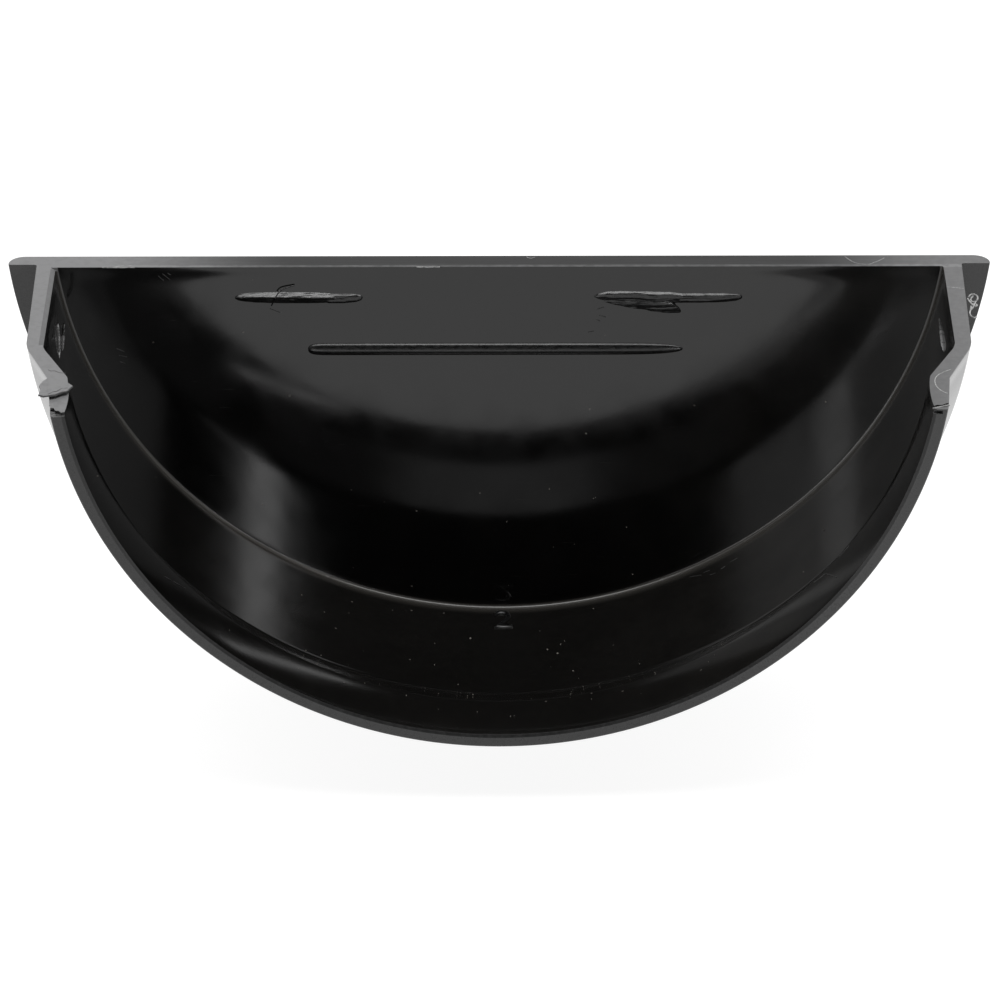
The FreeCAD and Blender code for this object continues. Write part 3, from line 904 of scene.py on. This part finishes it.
left_stub = torn_stub(
    "stub_left", 0.26, 0.15,
    lambda middle: 1 if middle.x > -20.3 or middle.x < -31.0 else 0,
    (EDGED, [
        (-31.8, 0, 0.15), (-31.4, -0.02, 0.5), (-30.5, 0, 0.78), (-28.6, 0, 0.94), (-26.0, 0, 1.0),
        (-23.0, -0.02, 1.0), (-21.0, -0.05, 0.9), (-19.8, -0.05, 0.7), (-19.1, -0.05, 0.3)]),
    (FLAT, [
        (-21.5, -0.1, 0.6), (-20.5, -0.1, 0.95), (-18.6, -0.08, 0.95), (-17.2, -0.02, 0.8),
        (-16.6, 0, 0.55), (-16.4, 0.02, 0.15)]))
seat(left_stub, (0, PLATE_FACE, -STUB_DROP))
hand_over(left_stub)

right_stub = torn_stub(
    "stub_right", 0.26, 0.14,
    lambda middle: 1 if middle.z < -0.75 or middle.x > 22.0 or middle.x < 12.3 else 0,
    (HALF_EDGED, [
        (11.4, 0.1, 0.1), (11.9, 0.1, 0.5), (12.9, 0.12, 0.8), (14.5, 0.08, 0.95), (17.5, 0, 1.0),
        (20.5, -0.1, 1.0), (22.0, -0.15, 0.85), (23.2, -0.2, 0.5), (23.8, -0.2, 0.1)]),
    (FLAT, [
        (20.8, -0.1, 0.5), (21.8, -0.1, 0.95), (24.5, -0.1, 0.95), (27.0, -0.05, 0.9), (28.5, 0, 0.72),
        (29.1, 0.03, 0.45), (29.25, 0.05, 0.12)]),
    (WEDGE, [
        (12.6, -0.55, 0.1), (13.6, -0.68, 0.35), (15.5, -0.85, 0.62), (18.0, -1.08, 0.92),
        (20.0, -1.22, 1.05), (20.9, -1.4, 0.9), (21.6, -1.75, 0.5), (21.9, -1.95, 0.2)]))
seat(right_stub, (0, PLATE_FACE, -STUB_DROP))
hand_over(right_stub)

# %% [markdown]
# The stubs on the walls could be modelled in place, but a ridge is easier to draw flat.
# So they are made in the same way as the others. Each is leaned back as the round wall leans
# at its height, turned towards the middle and pushed out to the wall.

# %% Stubs on the side walls
WALL_STUB_PLACE = -11.0
below_axis = axis_height / MM + STUB_DROP
wall_reach = math.sqrt(PLATE_RADIUS ** 2 - below_axis ** 2)
wall_lean = math.degrees(math.asin(below_axis / PLATE_RADIUS))
THIN = [(0.15, 0.30), (0.0, 0.24), (-0.26, 0.20), (-0.30, 0.0), (-0.12, -0.24), (0.15, -0.34)]
LOW = [(0.15, 1.10), (-0.08, 0.90), (-0.12, 0.2), (-0.10, -0.6), (0.0, -0.95), (0.15, -1.10)]


def wall_stub(name, side, fibre, depth, finish_at, *ridges):
    """A stub made flat and then laid on a side wall, -1 for the left and 1 for the right one.
    Its X runs towards the plate on the left, and away from it on the right."""
    stub = torn_stub(name, fibre, depth, finish_at, *ridges)
    seat(stub, (0, 0, 0), (-wall_lean, 0, 0))
    seat(stub, (side * wall_reach, WALL_STUB_PLACE, -STUB_DROP), (0, 0, -90 * side))
    hand_over(stub)


wall_stub("stub_left_wall", -1, 0.30, 0.10, lambda middle: 2 if middle.y > -0.15 else 0,
          (LOW, [(-6.6, 1.9, 0.2), (-5.4, 1.9, 0.8), (-2.0, 1.6, 1.0), (2.0, 0.9, 0.9), (3.8, 0.5, 0.3)]),
          (THIN, [(2.9, 0.5, 0.2), (2.2, 0.2, 0.8), (0.2, -0.8, 1.1), (-1.6, -1.7, 0.8), (-2.4, -2.1, 0.2)]),
          (THIN, [(6.9, -1.6, 0.2), (6.0, -1.7, 0.7), (3.6, -2.1, 1.0), (1.4, -2.5, 0.7), (0.6, -2.6, 0.2)]))
wall_stub("stub_right_wall", 1, 0.26, 0.06, lambda middle: 1 if middle.y > -0.05 else 0,
          (THIN, [
              (-4.6, -0.1, 0.15), (-3.6, -0.1, 0.5), (-0.5, -0.15, 0.9), (2.5, -0.15, 1.1),
              (4.0, -0.15, 0.7), (4.7, -0.15, 0.15)]))

# %% [markdown]
# On the left the saw pushed a lip of plastic out over the tear. It is drawn in plan and extruded thin,
# remeshed, and crumpled by a cloud texture, so that its edge droops and its top isn't flat.
# Folding it by hand would take many more points.

# %% Torn lip
LIP_OUTLINE = [
    (-52.3, -29.2), (-52.0, -30.3), (-52.7, -31.3), (-53.05, -32.6), (-52.85, -33.4), (-53.0, -35.0),
    (-52.3, -35.3), (-51.7, -35.15), (-50.9, -34.9), (-50.3, -34.3), (-49.6, -34.05), (-49.0, -32.6),
    (-49.75, -31.6), (-50.2, -30.4)]
LIP_TOP = -0.02
LIP_UNDERSIDE = -0.4
LIP_VOXEL = 0.1 * MM

lip = prism("torn_lip", LIP_OUTLINE, LIP_UNDERSIDE, LIP_TOP)
apply_modifier(lip, "REMESH", mode="VOXEL", voxel_size=LIP_VOXEL)
crumple = cloud_texture("crumple", 0.9)
apply_modifier(lip, "DISPLACE", texture=crumple, direction="NORMAL", strength=0.16 * MM, mid_level=0.95)
apply_modifier(lip, "SMOOTH", factor=0.5, iterations=2)
hand_over(lip, sawn, angle=40)

# %% [markdown]
# The trim also left loose ends: a pale curl outside the right wall,
# and a dark hair of plastic on the left stub.
# Each is a NURBS path with a round bevel, bent point by point and then made a mesh.


# %% Shavings
def strand(name, points, thickness=0.2, finish=shaving):
    """A thread along five points or more, in millimetres. A new NURBS path has five already."""
    bpy.ops.object.select_all(action="DESELECT")
    bpy.ops.curve.primitive_nurbs_path_add()
    path = bpy.context.object
    path.name = name
    spline = path.data.splines[0]
    spline.points.add(len(points) - len(spline.points))
    for control, point in zip(spline.points, points):
        control.co = (*(Vector(point) * MM), 1)
    spline.order_u = 3
    spline.use_endpoint_u = True
    path.data.bevel_depth = thickness / 2 * MM
    path.data.bevel_resolution = 2
    path.data.use_fill_caps = True
    bpy.ops.object.convert(target="MESH")
    hand_over(path, finish)


strand("curl_upper", [
    (55.7, -9.3, -0.2), (55.9, -8.7, -0.1), (56.5, -8.5, -0.1), (56.9, -9.2, -0.2), (56.6, -10.2, -0.3),
    (56.0, -10.3, -0.3), (55.9, -9.5, -0.2), (56.3, -9.0, -0.15)])
strand("curl_middle", [
    (55.6, -9.6, -0.2), (55.8, -10.8, -0.1), (56.3, -11.9, -0.15), (56.7, -11.2, -0.3),
    (56.3, -10.4, -0.4), (55.9, -11.2, -0.3), (55.8, -12.4, -0.25)])
strand("curl_tail", [
    (56.5, -10.2, -0.3), (56.2, -11.8, -0.2), (55.6, -12.9, -0.2), (55.6, -14.0, -0.3),
    (56.1, -14.6, -0.4), (56.3, -14.2, -0.4)])
strand("stub_hair", [
    (-27.4, -1.15, -5.0), (-27.0, -1.5, -4.1), (-26.6, -1.5, -3.2), (-25.9, -1.1, -2.7),
    (-24.6, -0.95, -2.4)], 0.16, grained)

# %% [markdown]
# The trim left its marks on the sawn tops as well: the half-moon seam where the right bend was trimmed,
# a hairline over the right wall, a crack in the left bend, an arc, a tick and scratches.
# They could be bump in the material, but then the mesh wouldn't have them.
# So they are strands too, sunk into the face until only a low bead shows.


# %% Marks on the sawn tops
def mark(name, plan, thickness=0.13, finish=shaving):
    """A strand along five points or more in plan, in millimetres, sunk into the sawn top."""
    strand(name, [(x, y, SAWN_LEVEL / MM + MARK_RELIEF - thickness / 2) for x, y in plan], thickness, finish)


MARK_RELIEF = 0.03
mark("seam_half_moon", [
    (52.3, -28.9), (51.6, -29.4), (50.8, -30.2), (50.3, -31.3), (50.3, -32.8), (50.55, -33.8),
    (51.15, -34.8), (51.6, -35.1)], 0.14)
mark("hairline_right_wall", [(53.3, -6.65), (53.8, -6.7), (54.3, -6.8), (54.8, -6.95), (55.3, -7.15)])
mark("crack_left_bend", [
    (-52.2, -28.5), (-51.95, -29.0), (-51.4, -28.75), (-50.8, -29.5), (-50.1, -29.4)], 0.12, grained)
mark("scratch_top_right", [(45.0, 0.25), (45.25, 0.4), (45.5, 0.6), (45.9, 1.05), (46.3, 1.5)])
mark("arc_top_right", [
    (41.6, 1.95), (42.2, 0.7), (43.0, -0.05), (44.0, -0.3), (44.7, -0.2), (45.0, 0.25)], 0.08)
mark("tick_top_middle", [(3.3, 2.0), (3.5, 1.75), (3.8, 1.6), (4.1, 1.7), (4.3, 1.95)])
mark("scratch_top_left", [(-46.2, -0.7), (-45.8, -0.5), (-45.2, -0.4), (-44.6, -0.35), (-44.0, -0.3)])
strand("chip_burr", [
    (49.65, -38.5, -0.28), (50.1, -38.4, -0.24), (50.6, -38.2, -0.24), (51.1, -37.95, -0.22),
    (51.6, -37.85, -0.2)])

# %% [markdown]
# In two places the trim left a short pale burr on the plate's front edge.
# A strand would be too even for it, so it is a thin cylinder, subdivided along its length
# and made ragged by a cloud texture.


# %% Burrs along the plate's front edge
def edge_burr(name, start, end):
    """A ragged bead along the front edge of the plate, from one X to another, in millimetres."""
    length = (end - start) * MM
    middle = Vector(((start + end) / 2, PLATE_FACE, -BURR_THICKNESS / 2)) * MM
    bpy.ops.object.select_all(action="DESELECT")
    bpy.ops.mesh.primitive_cylinder_add(vertices=10, radius=BURR_THICKNESS / 2 * MM, depth=length,
                                        location=middle, rotation=(0, math.pi / 2, 0))
    burr = bpy.context.object
    burr.name = name
    bpy.ops.object.transform_apply()
    bpy.ops.object.mode_set(mode="EDIT")
    bpy.ops.mesh.select_mode(type="EDGE")
    mesh = bmesh.from_edit_mesh(burr.data)
    for edge in mesh.edges:
        edge.select_set(abs(edge.verts[0].co.x - edge.verts[1].co.x) > length / 2)
    bmesh.update_edit_mesh(burr.data)
    bpy.ops.mesh.subdivide(number_cuts=BURR_CUTS)
    bpy.ops.object.mode_set(mode="OBJECT")
    apply_modifier(burr, "DISPLACE", texture=ragged, direction="Y", strength=0.3 * MM, mid_level=0.5)
    hand_over(burr, shaving)


BURR_THICKNESS = 0.14
BURR_CUTS = 40
ragged = cloud_texture("ragged", 0.7)
edge_burr("burr_left", -47.6, -43.6)
edge_burr("burr_middle", -9.9, -7.1)

# %% [markdown]
# Inside the skirt a few short scuffs lie in a row beside the corner,
# and the mould left fine witness lines on the rim.
# They follow the round wall, so each is given only in plan, and its height comes from the radius of the wall.


# %% Scuffs and witness lines inside the skirt
def skirt_inside(y):
    """Inside radius of the skirt at a place along Y, in millimetres, with the crown of the rim."""
    bend = min(max((-y - BEND_START / MM) / (BEND_END / MM - BEND_START / MM), 0), 1)
    rim = max((-y - BEND_END / MM) / (-low.y / MM - BEND_END / MM), 0)
    crown = CROWN_SHARE * RIM_CROWN / MM * (1 - (2 * rim - 1) ** 2)
    return (WALL_INSIDE + (RIM_INSIDE - WALL_INSIDE) * bend) / MM - crown


def five_between(start, end):
    return [Vector(start).lerp(Vector(end), step / 4) for step in range(5)]


def skirt_line(name, start, end):
    """A fine bead on the inside of the skirt, from one (X, Y) to another, in millimetres."""
    points = []
    for x, y in five_between(start, end):
        radius = skirt_inside(y) + SKIRT_LINE * SUNK_SHARE
        points.append((x, y, axis_height / MM - math.sqrt(radius ** 2 - x ** 2)))
    strand(name, points, SKIRT_LINE, rubbed)


CROWN_SHARE = 0.6
SKIRT_LINE = 0.1
SUNK_SHARE = 0.2
skirt_line("scuff_first", (23.26, -2.90), (24.69, -3.73))
skirt_line("scuff_second", (25.00, -3.39), (25.75, -3.50))
skirt_line("scuff_third", (25.72, -4.71), (26.39, -4.96))
skirt_line("scuff_fourth", (27.09, -4.60), (27.55, -4.46))
skirt_line("scuff_fifth", (28.17, -4.02), (29.05, -4.07))
skirt_line("witness_rising", (36.96, -31.07), (38.21, -31.82))
skirt_line("witness_falling", (38.21, -31.82), (39.32, -35.56))
skirt_line("witness_upper", (39.84, -30.95), (40.96, -31.29))
skirt_line("witness_left", (-39.05, -34.52), (-36.88, -32.38))

# %% [markdown]
# On the plate, the blade that took the tabs off chattered and left a few dark dashes beside the stubs.
# Three pale scuffs lie near the left wall, and a faint dark hatch under the top edge.
# They are beads as well, because paint in the material wouldn't catch the light.


# %% Marks on the plate
def plate_line(name, finish, start, end):
    """A bead on the plate, from one (X, Z) to another, in millimetres. Only a sliver of it stands out."""
    y = PLATE_FACE + PLATE_LINE * PLATE_SUNK_SHARE
    strand(name, [(x, y, z) for x, z in five_between(start, end)], PLATE_LINE, finish)


PLATE_LINE = 0.14
PLATE_SUNK_SHARE = 0.35
plate_line("chatter_first", grained, (11.77, -5.69), (12.61, -5.42))
plate_line("chatter_second", grained, (12.02, -6.49), (12.86, -6.76))
plate_line("chatter_third", grained, (11.66, -7.02), (12.14, -7.29))
plate_line("chatter_fourth", grained, (10.70, -8.76), (11.42, -8.63))
plate_line("chatter_left", grained, (-27.60, -5.55), (-26.30, -6.10))
plate_line("scuff_plate_upper", rubbed, (-46.2, -10.9), (-45.3, -11.3))
plate_line("scuff_plate_middle", rubbed, (-46.0, -11.8), (-45.0, -12.0))
plate_line("scuff_plate_lower", rubbed, (-45.9, -12.6), (-45.2, -12.9))
plate_line("hatch_first", grained, (-40.9, -1.2), (-40.3, -1.8))
plate_line("hatch_second", grained, (-40.4, -0.9), (-39.5, -1.7))
plate_line("hatch_third", grained, (-39.8, -0.8), (-39.4, -1.1))

# %% [markdown]
# The mould left a small raised number on the skirt's floor. A text object is given some depth
# and a round edge, made a mesh, scaled to its size and laid on the floor of the skirt.
# It could be drawn by hand, but a text object has the shape already.

# %% Mould number
NUMBER_MIDDLE = 0.42
NUMBER_BASE = -6.27
NUMBER_HEIGHT = 4.3
NUMBER_WIDTH = 2.3
NUMBER_RELIEF = 4.6
skirt_floor = (axis_height - WALL_INSIDE) / MM

bpy.ops.object.select_all(action="DESELECT")
bpy.ops.object.text_add()
number = bpy.context.object
number.name = "mould_number"
number.data.body = "2"
number.data.extrude = 0.01
number.data.bevel_depth = 0.05
number.data.offset = -0.036
number.data.bevel_resolution = 2
bpy.ops.object.convert(target="MESH")
xs = [vertex.co.x for vertex in number.data.vertices]
ys = [vertex.co.y for vertex in number.data.vertices]
edit_all()
bpy.ops.mesh.remove_doubles(threshold=0.0001)
bpy.ops.transform.translate(value=(-(min(xs) + max(xs)) / 2, -min(ys), 0))
growth = Vector((NUMBER_WIDTH / (max(xs) - min(xs)), NUMBER_HEIGHT / (max(ys) - min(ys)), NUMBER_RELIEF))
bpy.ops.transform.resize(value=growth * MM, center_override=(0, 0, 0))
bpy.ops.object.mode_set(mode="OBJECT")
seat(number, (NUMBER_MIDDLE, NUMBER_BASE, skirt_floor))
hand_over(number, grained)

# %% [markdown]
# Grains of dust lie in the groove of the bend and on the walls, and a few stick to the plate.
# One grain is an icosphere, dented by a cloud texture. The copies are turned, squashed and sized
# by a seeded random generator, and each is set on the surface that it lies on.
# A particle system could scatter them, but a loop decides where each one lies.

# %% Dust grains
SKIRT_GRAINS = 60
PLATE_GRAINS = 16
GRAIN_LIFT = 0.03
GROOVE = (-36, -20)
WALL = (-20, -3)
NEAR_BOTTOM = (-30, 20)
ALL_ROUND = (-75, 70)
SMALL = (0.035, 0.07)
LARGE = (0.08, 0.11)
PLATE_BAND = (30, 52)
LONG = (0.7, 1.5)
SQUASHED = (0.5, 0.9)
FULL_TURN = 6.28
chance = random.Random(11)

bpy.ops.object.select_all(action="DESELECT")
bpy.ops.mesh.primitive_ico_sphere_add(subdivisions=2, radius=1 * MM)
grain_shape = bpy.context.object
dents = cloud_texture("dents", 0.8)
apply_modifier(grain_shape, "DISPLACE", texture=dents, strength=1.2 * MM, mid_level=0.5)

grains = []
for index in range(SKIRT_GRAINS + PLATE_GRAINS):
    y = chance.uniform(*(GROOVE if index % 3 else WALL))
    angle = math.radians(chance.uniform(*(NEAR_BOTTOM if index % 4 else ALL_ROUND)))
    radius = skirt_inside(y) - GRAIN_LIFT
    size = chance.uniform(*(SMALL if index % 6 else LARGE))
    if index >= SKIRT_GRAINS:
        y = PLATE_FACE - GRAIN_LIFT
        radius = chance.uniform(*PLATE_BAND)
    copy = grain_shape.copy()
    copy.data = grain_shape.data.copy()
    bpy.context.collection.objects.link(copy)
    copy.location = Vector((radius * math.sin(angle), y, axis_height / MM - radius * math.cos(angle))) * MM
    copy.rotation_euler = [chance.uniform(0, FULL_TURN) for axis in range(3)]
    copy.scale = [size * chance.uniform(*LONG), size, size * chance.uniform(*SQUASHED)]
    grains.append(copy)
bpy.data.objects.remove(grain_shape)
for copy in grains:
    copy.select_set(True)
bpy.context.view_layer.objects.active = grains[0]
bpy.ops.object.join()
dust_grains = bpy.context.object
dust_grains.name = "dust_grains"
bpy.ops.object.transform_apply()
hand_over(dust_grains, dust_grain)
